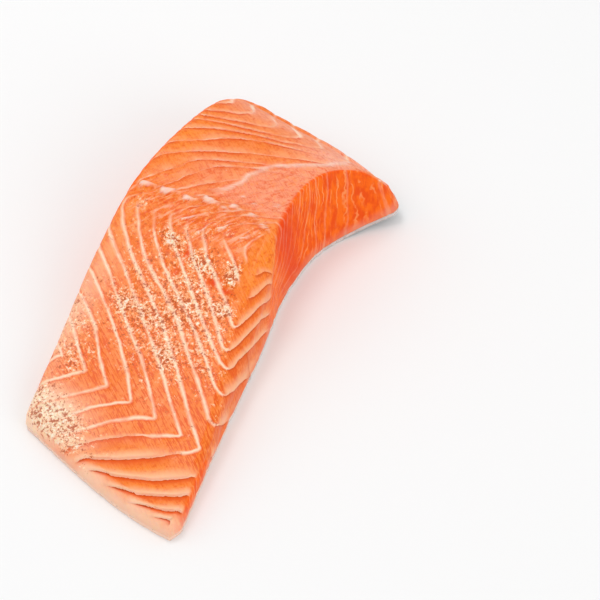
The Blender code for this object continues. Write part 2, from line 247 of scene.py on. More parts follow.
# Unevenness: its reach along and across in millimetres, or in levels across the seams, and its seed
UNEVEN = {
    "seams": (4.0, 1.0, 11),
    "torn seams": (3.5, 1.0, 21),
    "loin seams": (4.0, 1 / 0.9, 24),
    "flank": (7.0, 5.0, 27),
    "top": (11.0, 11.0, 31),
    "rag": (2.6, 2.6, 41),
    "wet grain": (0.9, 0.9, 44),
    "torn flesh": (4.5, 1.5, 47),
    "cut": (2.0, 3.0, 51),
    "scales along": (6.0, 6.0, 61),
    "scales across": (6.0, 6.0, 64),
    "wet patches": (3.6, 2.2, 71),
    "flaps": (1.3, 1.3, 83),
    "fat of flaps": (0.9, 0.9, 87),
    "faded seams": (7.0, 4.0, 91),
    "creased seams": (3.2, 1.6, 93),
    "belly rim": (5.0, 5.0, 97),
    "torn edge": (2.5, 2.5, 99),
}

# Mesh of the flesh
ROWS, ROW_CROWDING = 330, 0.3
# Columns of a flake, as shares of the way to the next seam
FLAKE_STEPS = (0, 0.03, 0.07, 0.12, 0.2, 0.29, 0.38, 0.47, 0.56, 0.65, 0.74, 0.82, 0.88, 0.93, 0.965, 0.985)
LEAST_STEP = 0.12
SHOULDER_STEPS, CUT_STEPS = 32, 34
FLESH_SHARP, SKIN_SHARP = 70, 50  # angles in degrees from which an edge is shaded sharp


# Noise

LATTICE = 256


@functools.cache
def lattice(seed):
    return np.random.default_rng(seed).uniform(-1, 1, (LATTICE, LATTICE))


def smooth_noise(x, y, seed):
    """Smooth noise from -1 to 1 with a lattice of 1."""
    table = lattice(seed)
    x, y = np.broadcast_arrays(np.asarray(x, float), np.asarray(y, float))
    column, row = np.floor(x).astype(int), np.floor(y).astype(int)
    u, v = x - column, y - row
    u, v = u * u * (3 - 2 * u), v * v * (3 - 2 * v)
    left, right, lower, upper = (at % LATTICE for at in (column, column + 1, row, row + 1))
    low = table[lower, left] * (1 - u) + table[lower, right] * u
    high = table[upper, left] * (1 - u) + table[upper, right] * u
    return low * (1 - v) + high * v


def uneven(kind, x, y, layers=3):
    """Noise from -1 to 1 of a kind in the table, each layer finer and weaker than the last."""
    along, across, seed = UNEVEN[kind]
    total = sum(smooth_noise(x / along * 2**i, y / across * 2**i, seed + i) * 0.5**i for i in range(layers))
    return total / (2 - 0.5 ** (layers - 1))


# Form of the portion, in millimetres


def through_stations(field, share):
    """A smooth curve through one field of the stations, read at share."""
    places = np.array([station.share for station in STATIONS])
    values = np.array([getattr(station, field) for station in STATIONS])
    steps = np.diff(places)
    slopes = np.diff(values) / steps
    tangents = np.empty(len(values))
    tangents[1:-1] = (slopes[:-1] * steps[1:] + slopes[1:] * steps[:-1]) / (steps[:-1] + steps[1:])
    tangents[0] = 1.5 * slopes[0] - 0.5 * tangents[1]
    tangents[-1] = 1.5 * slopes[-1] - 0.5 * tangents[-2]
    share = np.asarray(share, float)
    k = np.clip(np.searchsorted(places, share, side="right") - 1, 0, len(steps) - 1)
    t = (share - places[k]) / steps[k]
    start = (1 + 2 * t) * (1 - t) ** 2 * values[k] + t * (1 - t) ** 2 * steps[k] * tangents[k]
    end = t * t * (3 - 2 * t) * values[k + 1] + t * t * (t - 1) * steps[k] * tangents[k + 1]
    return start + end


def ramp(value, low, high):
    """0 at low and 1 at high, smooth between. low may be the larger one."""
    t = np.clip((np.asarray(value, float) - low) / (high - low), 0, 1)
    return t * t * (3 - 2 * t)


def between(value, rise, fall):
    """1 between two ramps, each given by its two ends."""
    return ramp(value, *rise) * ramp(value, *fall)


def outline(share, across):
    reach = across * through_stations("half_width", share)
    turn = np.radians(through_stations("slant", share))
    near_belly = np.clip(1 - share / BELLY_BULGE_SHARE, 0, 1) ** 2
    bulge = BELLY_BULGE * near_belly * (1 - across**2) * (1 + BELLY_BULGE_SKEW * across)
    x = through_stations("x", share) + reach * np.cos(turn)
    y = through_stations("y", share) + reach * np.sin(turn) - bulge
    return x, y


def across_at(share, x, y):
    """The across value of a place in plan, on the row at share."""
    turn = np.radians(through_stations("slant", share))
    run = (x - through_stations("x", share)) * np.cos(turn)
    rise = (y - through_stations("y", share)) * np.sin(turn)
    return (run + rise) / through_stations("half_width", share)


def top(share, across):
    side = (across + 1) / 2
    start = BACK_ROUND_LEFT + (BACK_ROUND_RIGHT - BACK_ROUND_LEFT) * side
    drop = BACK_DROP_LEFT + (BACK_DROP_RIGHT - BACK_DROP_LEFT) * side
    u = np.clip((share - start) / (1 - start), 0, 1) * BACK_FULL
    corner = CORNER_DROP * ramp(share, *CORNER_DROP_SHARES) * ramp(across, *CORNER_DROP_ACROSS)
    return through_stations("height", share) - drop * (1 - np.sqrt(1 - u * u)) - corner


def underside(share):
    return SKIN_LIFT * np.clip((share - SKIN_LIFT_SHARE) / (1 - SKIN_LIFT_SHARE), 0, 1) ** 2


# Seams


def on_photo(points):
    """Where points of the portion appear on the photograph, in pixels."""
    back = np.array(toward(CAMERA_AZIMUTH, CAMERA_ELEVATION))
    right = np.array(toward(CAMERA_AZIMUTH + 90.0, 0.0))
    seen = points - PHOTO_AIM - back * CAMERA_AWAY / MM
    scale = PHOTO_SIZE * CAMERA_LENS / CAMERA_SENSOR / (seen @ -back)
    from_middle = np.stack([seen @ right, seen @ np.cross(right, back)], axis=-1)
    return PHOTO_SIZE / 2 + from_middle * scale[:, None]


def traced_points():
    """Place, level and run along the fish of each traced point, at the nearest of many points of the top."""
    share, across = np.meshgrid(np.linspace(*TRACE_ROWS), np.linspace(*TRACE_COLUMNS), indexing="ij")
    share, across = share.ravel(), across.ravel()
    place = through_stations("y", share)
    run = through_stations("x", share) + across * through_stations("half_width", share)
    x, y = outline(share, across)
    photo = on_photo(np.stack([x, y, top(share, np.clip(across, -1, 1))], axis=-1))
    found = []
    for shown, traces in ((photo, SEAMS_ON_PHOTO), (np.stack([x, y], axis=-1), SEAMS_IN_PLAN)):
        for level, trace in traces.items():
            for point in trace:
                at = ((shown - point) ** 2).sum(axis=1).argmin()
                found.append((place[at], level, run[at]))
    return np.array(found).T


def cells(place, level):
    """The four cells of the table of shifts round each point, with their weights."""
    row_at = np.interp(place, SHIFT_PLACES, np.arange(len(SHIFT_PLACES)))
    column_at = np.clip(level, *SHIFT_LEVELS) - SHIFT_LEVELS[0]
    row = np.minimum(row_at.astype(int), len(SHIFT_PLACES) - 2)
    column = np.minimum(column_at.astype(int), SHIFT_LEVELS[1] - SHIFT_LEVELS[0] - 1)
    u, v = row_at - row, column_at - column
    weights = ((1 - u) * (1 - v), (1 - u) * v, u * (1 - v), u * v)
    return zip((row, row, row + 1, row + 1), (column, column + 1, column, column + 1), weights)


@functools.cache
def seam_shifts():
    """The table of shifts, with a row for each place and a column for each level, by least squares."""
    rows, columns = len(SHIFT_PLACES), SHIFT_LEVELS[1] - SHIFT_LEVELS[0] + 1
    place, level, run = traced_points()
    plain = rounded(rule_run, place, TRACE_SOFTNESS) + level * np.interp(place, PITCH_PLACES, PITCHES)
    fit = np.zeros((len(place), rows, columns))
    for row, column, weight in cells(place, level):
        fit[np.arange(len(place)), row, column] += weight
    slopes = np.diff(np.eye(rows), axis=0) / np.diff(SHIFT_PLACES)[:, None]
    bends_along = np.kron(np.diff(slopes, axis=0), np.eye(columns))
    bends_across = np.kron(np.eye(rows), np.diff(np.eye(columns), 2, axis=0))
    smooth = [STIFF_ALONG * bends_along, STIFF_ACROSS * bends_across, FADE * np.eye(rows * columns)]
    system = np.vstack([fit.reshape(len(place), -1), *smooth])
    wanted = np.concatenate([run - plain, np.zeros(len(system) - len(run))])
    table = np.linalg.lstsq(system, wanted, rcond=None)[0].reshape(rows, columns).round(1)
    level_0 = -SHIFT_LEVELS[0]
    for changed, *changes in SHIFT_CHANGES:
        table[SHIFT_PLACES.index(changed), level_0 : level_0 + 2] += changes
    return table


def rounded(rule, place, softness):
    """The mean of a rule over a short reach about each place, which rounds its turns."""
    reach = np.interp(place, SOFT_PLACES, softness)
    return sum(rule(place + tap * reach) for tap in np.linspace(-1, 1, SEAM_TAPS)) / SEAM_TAPS


def rule_run(place):
    return np.interp(place, SEAM_PLACES, SEAM_RUNS)


def seam_rule(place, level):
    """Where the seams run along the fish: by their rule, spacing and shifts, turned at the crest."""
    shifts = seam_shifts()

    def run(at):
        turned = rule_run(at) + np.interp(at, CREST_PLACES, CREST_TURN)
        shift = sum(shifts[row, column] * weight for row, column, weight in cells(at, level))
        return turned + level * np.interp(at, PITCH_PLACES, PITCHES) + shift

    return rounded(run, place, SOFTNESS)


def seam_wander(place, level):
    """Small drift of the seams, stronger where the flesh tore."""
    slow = WANDER_SLOW * np.sin(0.31 * place - 2.3 * level + 1.0)
    fine = WANDER_FINE * uneven("seams", place, level)
    tear = np.exp(-(((place - TEAR_PLACE) / TEAR_REACH) ** 2))
    torn = WANDER_TORN * tear * uneven("torn seams", place, level)
    loin = WANDER_LOIN * ramp(place, *WANDER_LOIN_PLACES) * uneven("loin seams", place, level)
    return slow + fine + torn + loin


def across_of_level(share, level):
    place = through_stations("y", share)
    run = seam_rule(place, level) + seam_wander(place, level)
    return (run - through_stations("x", share)) / through_stations("half_width", share)


def level_finder(share):
    """A function that finds the levels of points on rows of the loft from their across values and depths."""
    levels = np.arange(FIRST_SEAM, LAST_SEAM, LEVEL_STEP)
    table = across_of_level(*np.meshgrid(share, levels, indexing="ij"))
    place = through_stations("y", share)
    dip = np.interp(place, SEAM_DIP_PLACES, SEAM_DIPS) / through_stations("half_width", share)

    def find(across, depth):
        wanted = across - dip * depth
        return np.array([np.interp(value, row, levels) for value, row in zip(wanted, table)])

    return find


def turned_back(level, place, x, y, z):
    """The level where the sheets have turned back on the flank, and how far they have, from 0 to 1."""
    run = x * FLANK_WAY[0] + y * FLANK_WAY[1] + z * FLANK_WAY[2]
    away = FLANK_AWAY * (1 - between(place, *FLANK_SPAN))
    plane = np.interp(run, FLANK_RUNS, FLANK_LEVELS) + away + FLANK_RAG * uneven("flank", y, run)
    turned = -FLANK_SOFT * np.logaddexp(-level / FLANK_SOFT, -plane / FLANK_SOFT)
    return turned, ramp(level - plane, -0.35, 0.15)


def spacing_from(step_a, step_b, rise_a, rise_b):
    """Distance between seams on a surface, from two steps on it and the rise of the level over each."""
    e, f, g = (step_a**2).sum(-1), (step_a * step_b).sum(-1), (step_b**2).sum(-1)
    steepness = (g * rise_a**2 - 2 * f * rise_a * rise_b + e * rise_b**2) / np.maximum(e * g - f * f, 1e-20)
    return np.clip(1 / np.sqrt(np.maximum(steepness, 1e-9)), 1.0, 12.0)


def level_on_top(share, level):
    """A place on the top given by the plain level of the seams: its point in plan and its turned level."""
    across = across_of_level(share, level)
    x, y = outline(share, across)
    turned, _ = turned_back(level, through_stations("y", share), x, y, top(share, across))
    return np.stack([x, y], axis=-1), turned


def seam_spacing(share, level):
    """Distance from a seam to the next on the top, square to the seams, in millimetres for each level."""
    small = 1e-3
    start, here = level_on_top(share, level)
    along, further = level_on_top(share, level + small)
    over, beside = level_on_top(share + small, level)
    return spacing_from(along - start, over - start, further - here, beside - here)


# Looks of the top: each function gives a value at points in plan


def tiling(place, level, from_belly):
    """How much the flakes overlap like tiles, from 0 to 1, in the belly flap and the loin."""
    belly = ramp(place, *TILED_PLACES) * ramp(level, *TILED_LEVELS)
    return np.maximum(belly, LOIN_TILING * between(place, *LOIN_SPAN)) * ramp(from_belly, *RIM)


def smooth_sheet(x, y):
    """1 on the smooth sheet between the torn edge and the right cut."""
    beyond = x - np.interp(y, TORN_EDGE_Y, TORN_EDGE_X)
    return ramp(beyond, -0.2, 1.2) * between(y, *SHEET_SPAN), beyond


def lobe(x, y):
    cx, cy, rx, ry = LOBE
    return np.exp(-((((x - cx) / rx) ** 2 + ((y - cy) / ry) ** 2) ** 1.5))


def turned_axes(x, y, turn):
    """Distances in plan along a way, turned from +X by degrees, and off it."""
    ux, uy = math.cos(math.radians(turn)), math.sin(math.radians(turn))
    return x * ux + y * uy, y * ux - x * uy


def flaps(x, y):
    """Height of the torn flaps with their hollows, and how much of their pale fat shows."""
    height, pale = np.zeros_like(x), np.zeros_like(x)
    for x0, y0, x1, y1, width, tall in FLAPS:
        length = math.hypot(x1 - x0, y1 - y0)
        along, off = turned_axes(x - x0, y - y0, math.degrees(math.atan2(y1 - y0, x1 - x0)))
        along, off = along / length, off + FLAP_RAG * width * uneven("flaps", x, y)
        taper = np.clip(1.1 - 0.8 * along, 0, 1)
        inside = ramp(along, -0.25 * width / length - 0.05, 0.1) * ramp(along, 1.15, 0.85)
        bump = np.exp(-((off / (width * (0.2 + 0.4 * taper))) ** 4)) * inside * (0.5 + 0.5 * taper)
        pit = np.exp(-(((off + HOLLOW_BEHIND * width) / (0.6 * width)) ** 2)) * inside
        height += 0.7 * tall * (bump - HOLLOW * pit * (1 - bump))
        fat = ramp(bump + 0.3 * uneven("fat of flaps", x, y), 0.3, 0.75) * ramp(along, 1.1, 0.1)
        pale = np.maximum(pale, fat)
    return height, pale


def flake_relief(place, level, spacing, tile, side, line):
    """Height of the flakes: tiles where they overlap, and pillows with proud seams between them."""
    part = level - np.floor(level)
    from_seam = np.minimum(part, 1 - part) * spacing
    tiles = -TILE_STEP * np.maximum((1 - part) ** TILE_CURVE, ramp(part, 1 - TILE_LIP, 1.0))
    turned = -FLANK_STEP * np.maximum(part**TILE_CURVE, ramp(part, TILE_LIP, 0.0))
    pillow = -PILLOW * np.abs(2 * part - 1) ** 4
    ridge = RIDGE * line * ramp(place, *RIDGE_PLACES) * np.exp(-((from_seam / RIDGE_WIDTH) ** 2))
    even = np.clip(1 - tile - side, 0, 1)
    return tile * tiles + side * turned + even * (pillow + ridge)


MOIST_RAG, MOIST_FULL = 0.34, (0.05, 1.15)  # how ragged the patches are, and from where to where they fill
# Moist patches, where glints are painted: middle x and y and reach along and across in millimetres, turn in
# degrees, and strength
MOIST_PATCHES = (
    (-2.0, -12.0, 26.0, 20.0, -50.0, 0.78),
    (-4.0, 4.6, 12.0, 4.6, -8.0, 0.95),
    (-13.5, 7.6, 8.0, 3.6, -16.0, 1.0),
    (9.4, 4.4, 4.8, 4.6, -22.0, 1.1),
    (2.0, -8.0, 13.0, 6.0, -37.0, 0.95),
    (11.2, -6.6, 6.0, 3.6, -31.0, 1.05),
    (-8.0, -17.0, 16.0, 6.4, -18.0, 0.95),
    (-17.0, -15.0, 8.0, 5.0, -19.0, 1.15),
    (2.2, -26.4, 12.0, 5.0, -37.0, 0.85),
    (15.2, -26.0, 8.0, 2.6, -34.0, 0.65),
    (-27.0, -29.0, 16.0, 8.0, -60.0, 0.6),
    (-24.0, -38.0, 9.0, 5.0, -26.0, 0.75),
    (-18.0, -58.2, 14.0, 6.6, -17.0, 1.3),
    (-27.0, -52.0, 7.0, 6.0, -60.0, 0.95),
    (-29.0, 14.0, 3.0, 6.0, 0.0, 0.45),
)


def moisture(x, y):
    """How wet and grainy the top is, from 0 to 1, in ragged patches."""
    most = np.zeros_like(x)
    for cx, cy, long, wide, turn, strength in MOIST_PATCHES:
        along, off = turned_axes(x - cx, y - cy, turn)
        most = np.maximum(most, strength * np.exp(-((along / long) ** 2) - (off / wide) ** 2))
    ragged = most + MOIST_RAG * uneven("wet patches", x, y)
    return ramp(ragged, *MOIST_FULL) * (1 - ramp(lobe(x, y), 0.1, 0.5))


def near(x, y, spots):
    """High near some spots, each a middle x and y, its reach along x and y, and a strength."""
    most = np.zeros_like(x)
    for cx, cy, rx, ry, strength in spots:
        most = np.maximum(most, strength * np.exp(-(((x - cx) / rx) ** 2) - ((y - cy) / ry) ** 2))
    return most


# Spots of each look, as near() takes them: pinkish flesh, partly a painted sheen on the loin, the crest and
# the belly's corner, yellowish and deep flesh, painted shade in the gaps between flakes, torn flesh, and pale
# fat like the belly's rim: at its right corner the fat itself, elsewhere a painted sheen in its colour
PINK_AND_SHEEN_SPOTS = (
    (14.0, 58.0, 11.0, 6.0, 1.0),
    (0.0, 33.0, 13.0, 9.0, 0.35),
    (-12.0, 66.0, 20.0, 5.0, 0.5),
    (22.0, 71.0, 18.0, 7.0, 1.1),
    (-14.0, 34.0, 9.0, 7.0, 0.35),
    (-27.0, -58.0, 7.0, 12.0, 0.5),
)
GLOW_SPOTS = (
    (-28.0, 42.0, 6.0, 14.0, 1.0),
    (-31.0, 8.0, 4.0, 16.0, 1.0),
    (15.0, 12.0, 5.0, 15.0, 1.0),
    (16.0, -62.0, 16.0, 9.0, 1.0),
)
DEEP_SPOTS = ((15.0, 26.0, 5.0, 7.0, 1.0),)
GAP_SPOTS = (
    (-7.9, 6.0, 1.2, 2.2, 0.9),
    (-8.2, -0.7, 1.2, 1.7, 0.8),
    (4.5, 0.6, 2.4, 1.8, 1.0),
    (8.6, -0.7, 3.2, 0.9, 1.0),
)
GAP_DEPTH = 0.8  # where the flakes gape
TORN_SPOTS = (
    (-9.0, 16.5, 15.0, 7.5, 1.0),
    (2.0, 17.0, 10.0, 7.0, 1.0),
    (-24.0, 17.0, 13.0, 9.0, 1.0),
    (7.0, 37.0, 8.0, 13.0, 0.5),
    (-10.0, 28.0, 16.0, 5.0, 0.45),
)
SHEEN_SPOTS = (
    (-32.0, -26.0, 6.0, 22.0, 0.75),
    (-24.0, -57.0, 13.0, 8.0, 1.8),
    (-14.0, -62.0, 11.0, 4.6, 1.0),
    (33.0, -75.0, 4.5, 4.5, 0.9),
)
TORN_TURN = 52.0  # of the fibres in torn flesh, in degrees


def fine_relief(x, y, sheet, mound, torn, moist):
    """Small unevenness of the whole top, of torn flesh and of wet patches."""
    along, off = turned_axes(x, y, TORN_TURN)
    whole = DRIFT * uneven("top", x, y) + RAG * (1 - 0.7 * sheet) * (1 - 0.7 * mound) * uneven("rag", x, y)
    grain = GRAIN * moist * uneven("wet grain", x, y, layers=2)
    return whole + RAG_TORN * torn * uneven("torn flesh", along, off) + grain


def top_values(x, y, share, level, spacing, turned):
    """Relief of the top and its shoulders, and the values there that the material reads."""
    place = through_stations("y", share)
    from_belly = share * LENGTH + 3.0 * ramp(x, 2.0, -16.0)
    sheet, beyond = smooth_sheet(x, y)
    mound = lobe(x, y)
    gap = near(x, y, GAP_SPOTS)
    torn = near(x, y, TORN_SPOTS) * (1 - ramp(mound, 0.05, 0.3))
    faded = ramp(place, *FADED_PLACES) * ramp(uneven("faded seams", x, y), 0.25, -0.35)
    creased = between(place, *CREASED_SPAN) * ramp(uneven("creased seams", x, y), -0.25, 0.2)
    shown = (1 - 0.75 * faded) * (1 - 0.85 * sheet) * (1 - ramp(mound, 0.15, 0.5))
    line = shown * (1 - 0.85 * torn) * (1 - 0.7 * creased) * ramp(from_belly, *RIM)
    tile = tiling(place, level, from_belly) * shown
    side = turned * (1 - 0.5 * mound)
    moist = moisture(x, y) * ramp(side, 0.6, 0.1)
    raised, pale = flaps(x, y)
    relief = flake_relief(place, level, spacing, tile, side, line)
    relief *= (1 - 0.5 * torn) * (1 - 0.7 * ramp(mound, 0.1, 0.5))
    relief += raised + LOBE_HEIGHT * mound - near(x, y, [NOTCH]) - GAP_DEPTH * gap
    relief -= TORN_STEP * ramp(beyond, -0.4, 0.5) * between(y, *TORN_STEP_SPAN)
    relief += fine_relief(x, y, sheet, mound, torn, moist)
    ragged = beyond + 0.5 + 0.8 * uneven("torn edge", x, y)
    edge_of_sheet = np.exp(-((ragged / 0.75) ** 2)) * between(y, *TORN_EDGE_SPAN)
    belly_rim = ramp(from_belly + 1.6 * uneven("belly rim", x, y), 5.5, -0.5)
    return relief, {
        "seam": level,
        "spacing": spacing,
        "place": place + 0 * x,
        "tile": tile,
        "flank": side,
        "line": line,
        "moist": moist * (1 - gap),
        # painted shade in the gaps where the flakes gape
        "deep": gap,
        "pale": np.maximum(pale, 0.9 * edge_of_sheet),
        "torn": torn,
        "blush": np.maximum(near(x, y, PINK_AND_SHEEN_SPOTS), 0.6 * sheet),
        "glow": np.maximum(near(x, y, GLOW_SPOTS), mound),
        # pale rim fat along the belly, and a painted sheen in its colour near the left edge and the left
        # corner
        "rim": np.maximum(belly_rim, near(x, y, SHEEN_SPOTS)),
    }


# Meshes


class Mesh:
    """Points, faces and values at the points of one piece, in millimetres until it is made."""

    def __init__(self, *fields):
        self.points = []
        self.values = {field: [] for field in fields}
        self.quads = []
        self.polygons = []
        self.count = 0

    def add(self, points, **values):
        self.points.append(points)
        for field, stored in self.values.items():
            stored.append(np.broadcast_to(values[field], len(points)).astype(float))
        self.count += len(points)
        return np.arange(self.count - len(points), self.count)

    def join(self, upper, lower):
        """A wall between two closed rings of equal count."""
        self.quads.append(np.stack([np.roll(upper, -1), upper, lower, np.roll(lower, -1)], axis=-1))

    def fill_grid(self, at, upward=True):
        """Fills a grid of points, by rows from the belly to the back."""
        corners = [at[:-1, :-1], at[:-1, 1:], at[1:, 1:], at[1:, :-1]]
        if not upward:
            corners = [corners[0], *corners[:0:-1]]
        self.quads.append(np.stack(corners, axis=-1).reshape(-1, 4))

    def fill_strips(self, ring, belly, sides, upward):
        """Fills a ring by strips from the left cut to the right one."""
        right = ring[belly : belly + sides]
        left = ring[-sides:][::-1]
        back = ring[belly + sides : -sides]
        ends = [[left[0], *ring[:belly], right[0]], [right[-1], *back, left[-1]]]
        quads = np.stack([left[:-1], right[:-1], right[1:], left[1:]], axis=-1)
        self.quads.append(quads if upward else quads[:, ::-1])
        self.polygons += ends if upward else [end[::-1] for end in ends]

    def to_object(self, name, shift, material, sharp_angle):
        points = (np.concatenate(self.points) + shift) * MM
        quads = np.concatenate(self.quads)
        faces = list(self.polygons)
        same = quads == np.roll(quads, -1, axis=1)
        whole = ~same.any(axis=1)
        faces += quads[whole].tolist()
        faces += [list(dict.fromkeys(q)) for q in quads[same.sum(axis=1) == 1].tolist()]
        used = np.zeros(len(points), bool)
        used[np.concatenate([np.asarray(face) for face in faces])] = True
        number = np.cumsum(used) - 1
        mesh = bpy.data.meshes.new(name)
        mesh.from_pydata(points[used].tolist(), [], [[int(number[i]) for i in face] for face in faces])
        for field, stored in self.values.items():
            layer = mesh.attributes.new(field, "FLOAT", "POINT")
            layer.data.foreach_set("value", np.concatenate(stored)[used])
        mesh.shade_smooth()
        mesh.set_sharp_from_angle(angle=math.radians(sharp_angle))
        mesh.materials.append(material)
        return place_in_scene(name, mesh)


def row_shares(rows):
    even = np.linspace(0, 1, rows)
    crowded = even - ROW_CROWDING * np.sin(2 * math.pi * even) / (2 * math.pi)
    first, last = BELLY_SHOULDER / LENGTH, 1 - SHOULDER / LENGTH
    return first + (last - first) * crowded


def shoulder_width(share, side):
    """Width of the shoulder between the top and a cut, whose side is -1 for the left, 1 for the right."""
    place = through_stations("y", share)
    left = np.interp(place, LEFT_SHOULDER_PLACES, LEFT_SHOULDERS)
    right = np.interp(place, RIGHT_SHOULDER_PLACES, RIGHT_SHOULDERS)
    end = np.where(share < 0.5, BELLY_SHOULDER, SHOULDER)
    return np.where(side > 0, right, np.where(side < 0, left, end))


def row_reach(share, side):
    """The across value of a row's end, where the shoulder starts. The corners are rounded."""
    radius = np.where(share < 0.5, BELLY_CORNER, BACK_CORNER)
    from_end = np.minimum(share * LENGTH - BELLY_SHOULDER, (1 - share) * LENGTH - SHOULDER) / radius
    corner = radius * (1 - np.sqrt(1 - np.clip(1 - from_end, 0, 1) ** 2))
    return 1 - (shoulder_width(share, side) + corner) / through_stations("half_width", share)


def outward(ring):
    """Ways in plan that point out of a ring of points, longer at a corner so that it keeps its point."""
    way_on = np.roll(ring, -1, axis=0)[:, :2] - ring[:, :2]
    way_in = ring[:, :2] - np.roll(ring, 1, axis=0)[:, :2]
    way_on /= np.linalg.norm(way_on, axis=1)[:, None]
    way_in /= np.linalg.norm(way_in, axis=1)[:, None]
    way = (way_on + way_in) / 2
    way /= np.maximum((way**2).sum(axis=1), CORNER_PUSH_LEAST)[:, None]
    return np.stack([way[:, 1], -way[:, 0]], axis=-1)


VALUES = "seam spacing place tile flank line moist pale torn blush glow rim cut deep under".split()
# The edge of the top: its points, their heights without relief, where each lies on the loft, and how many of
# them are at the belly
Ring = namedtuple("Ring", "index points height share side belly")


def add_top(mesh):
    """The top of the flesh. Its columns follow the seams, and a column beyond a cut is held at the cut."""
    levels = np.array([seam + step for seam in range(FIRST_SEAM, LAST_SEAM) for step in FLAKE_STEPS])
    shares = row_shares(ROWS)
    share, level = np.meshgrid(shares, levels, indexing="ij")
    free = across_of_level(share, level)
    low, high = -row_reach(shares, -1)[:, None], row_reach(shares, 1)[:, None]
    tolerance = LEAST_STEP / through_stations("half_width", shares)[:, None]
    across = np.where(free < low + tolerance, low, np.where(free > high - tolerance, high, free))
    for i in range(len(shares)):
        level[i] = np.interp(across[i], free[i], levels)
    x, y = outline(share, across)
    height = top(share, across)
    spacing = seam_spacing(share, level)
    level, turned = turned_back(level, through_stations("y", share), x, y, height)
    relief, values = top_values(x, y, share, level, spacing, turned)
    points = np.stack([x, y, height + relief], axis=-1).reshape(-1, 3)
    mesh.add(points, cut=0.0, under=0.0, **{name: value.ravel() for name, value in values.items()})

    first = (across <= low).sum(axis=1) - 1
    last = len(levels) - (across >= high).sum(axis=1)
    column = np.clip(np.arange(len(levels))[None, :], first[:, None], last[:, None])
    index = np.arange(len(shares))[:, None] * len(levels) + column
    mesh.fill_grid(index)
    belly = index[0, first[0] : last[0] + 1]
    back = index[-1, first[-1] : last[-1] + 1][::-1]
    right, left = index[1:-1, -1], index[1:-1, 0][::-1]
    ring = np.concatenate([belly, right, back, left])
    rows = np.concatenate([0 * belly, np.arange(1, ROWS - 1), 0 * back - 1, np.arange(ROWS - 2, 0, -1)])
    side_of = np.repeat([0.0, 1.0, 0.0, -1.0], [len(belly), len(right), len(back), len(left)])
    return Ring(ring, points[ring], height.ravel()[ring], shares[rows], side_of, len(belly))


def level_spacing(points, level):
    """Distance between seams on a surface given by rings of points and the levels at them."""
    down, around = np.gradient(points, axis=0), (np.roll(points, -1, 1) - np.roll(points, 1, 1)) / 2
    fall, drift = np.gradient(level, axis=0), (np.roll(level, -1, 1) - np.roll(level, 1, 1)) / 2
    return spacing_from(down, around, fall, drift)


def side_rings(ring):
    """Rings from the top's edge to the underside: points, ways out, shares, and how far round each is."""
    way = outward(ring.points)
    unit = way / np.linalg.norm(way, axis=1)[:, None]
    edge_share = np.where(ring.share < 0.5, 0.0, 1.0)
    end = np.where(ring.side == 0, edge_share, ring.share)
    floor = underside(end) + SKIN + GAP
    width = shoulder_width(ring.share, ring.side)
    reach = (BELLY_SHOULDER, BELLY_SHOULDER_END)
    most = np.interp(ring.share * LENGTH, reach, (BELLY_SHOULDER_MOST, SHOULDER_MOST))
    fall = np.minimum(width, most * (ring.height - floor))
    lean = through_stations("lean", end)
    up = np.array([0.0, 0.0, 1.0])
    points, ways, shares, turns = [], [], [], []
    for step in range(SHOULDER_STEPS + 1):
        angle = 0.5 * math.pi * step / SHOULDER_STEPS
        plan = ring.points[:, :2] + way * (width * math.sin(angle))[:, None]
        height = ring.height - fall * (1 - math.cos(angle))
        points.append(np.column_stack([plan, height]))
        ways.append(np.column_stack([unit * math.sin(angle), 0 * height]) + up * math.cos(angle))
        shares.append(ring.share + (end - ring.share) * math.sin(angle))
        turns.append(step / SHOULDER_STEPS)
    for step in range(1, CUT_STEPS + 1):
        part = step / CUT_STEPS
        level = height + (floor - height) * part
        wave = cut_wave(end, ring.side, height - level) * math.sin(math.pi * part)
        points.append(np.column_stack([plan[:, 0] + lean * part + wave, plan[:, 1], level]))
        ways.append(np.column_stack([unit, 0 * height]))
        shares.append(end)
        turns.append(1.0 + part)
    return np.array(points), np.array(ways), np.array(shares), np.array(turns)[:, None]


def make_flesh(material):
    mesh = Mesh(*VALUES)
    ring = add_top(mesh)
    points, ways, share, turns = side_rings(ring)
    across = across_at(share, points[..., 0], points[..., 1])
    depth = ring.height - points[..., 2]
    finders = [level_finder(row) for row in share[: SHOULDER_STEPS + 1]]
    finders += [level_finder(share[-1])] * CUT_STEPS
    level = np.array([find(row, down) for find, row, down in zip(finders, across, depth)])
    place = through_stations("y", share)
    level, turned = turned_back(level, place, *np.moveaxis(points, -1, 0))
    turned = turned * (ring.side > 0)
    spacing = level_spacing(points, level)
    relief, values = top_values(points[..., 0], points[..., 1], share, level, spacing, turned)
    beside = between(place, *BESIDE_SPAN) * (ring.side > 0)
    back = (ring.side == 0) & (ring.share > 0.5)
    start = np.interp(place, CUT_PLACES, CUT_STARTS) + CUT_LATER * (beside + back)
    cut = ramp(turns, start, start + CUT_BLEND)
    values["deep"] = values["deep"] * (1 - cut) + cut * near(points[..., 0], points[..., 1], DEEP_SPOTS)
    over_skin = points[..., 2] - points[-1, :, 2]
    values["under"] = ramp(over_skin, UNDER_REACH + UNDER_BESIDE * beside, UNDER_FULL)
    part = level - np.floor(level)
    groove = -SEAM_ON_CUT * np.exp(-((np.minimum(part, 1 - part) * spacing / SEAM_ON_CUT_WIDTH) ** 2))
    ragged = CUT_RAG * uneven("cut", place, points[..., 2])
    points += ways * (relief * (1 - cut) + (groove + ragged) * cut)[..., None]
    values["moist"] = values["moist"] * (1 - cut)
    values["line"] = values["line"] * (1 - cut) + ramp(place, *CUT_LINES_PLACES) * cut
    above = ring.index
    for i in range(1, len(points)):
        below = mesh.add(points[i], cut=cut[i], **{name: value[i] for name, value in values.items()})
        mesh.join(above, below)
        above = below
    sides = ROWS - 2
    mesh.fill_strips(above, ring.belly, sides, upward=False)
    flesh = mesh.to_object("salmon_flesh", frame_shift(), material, FLESH_SHARP)
    return flesh, points[-1], ring.belly, sides


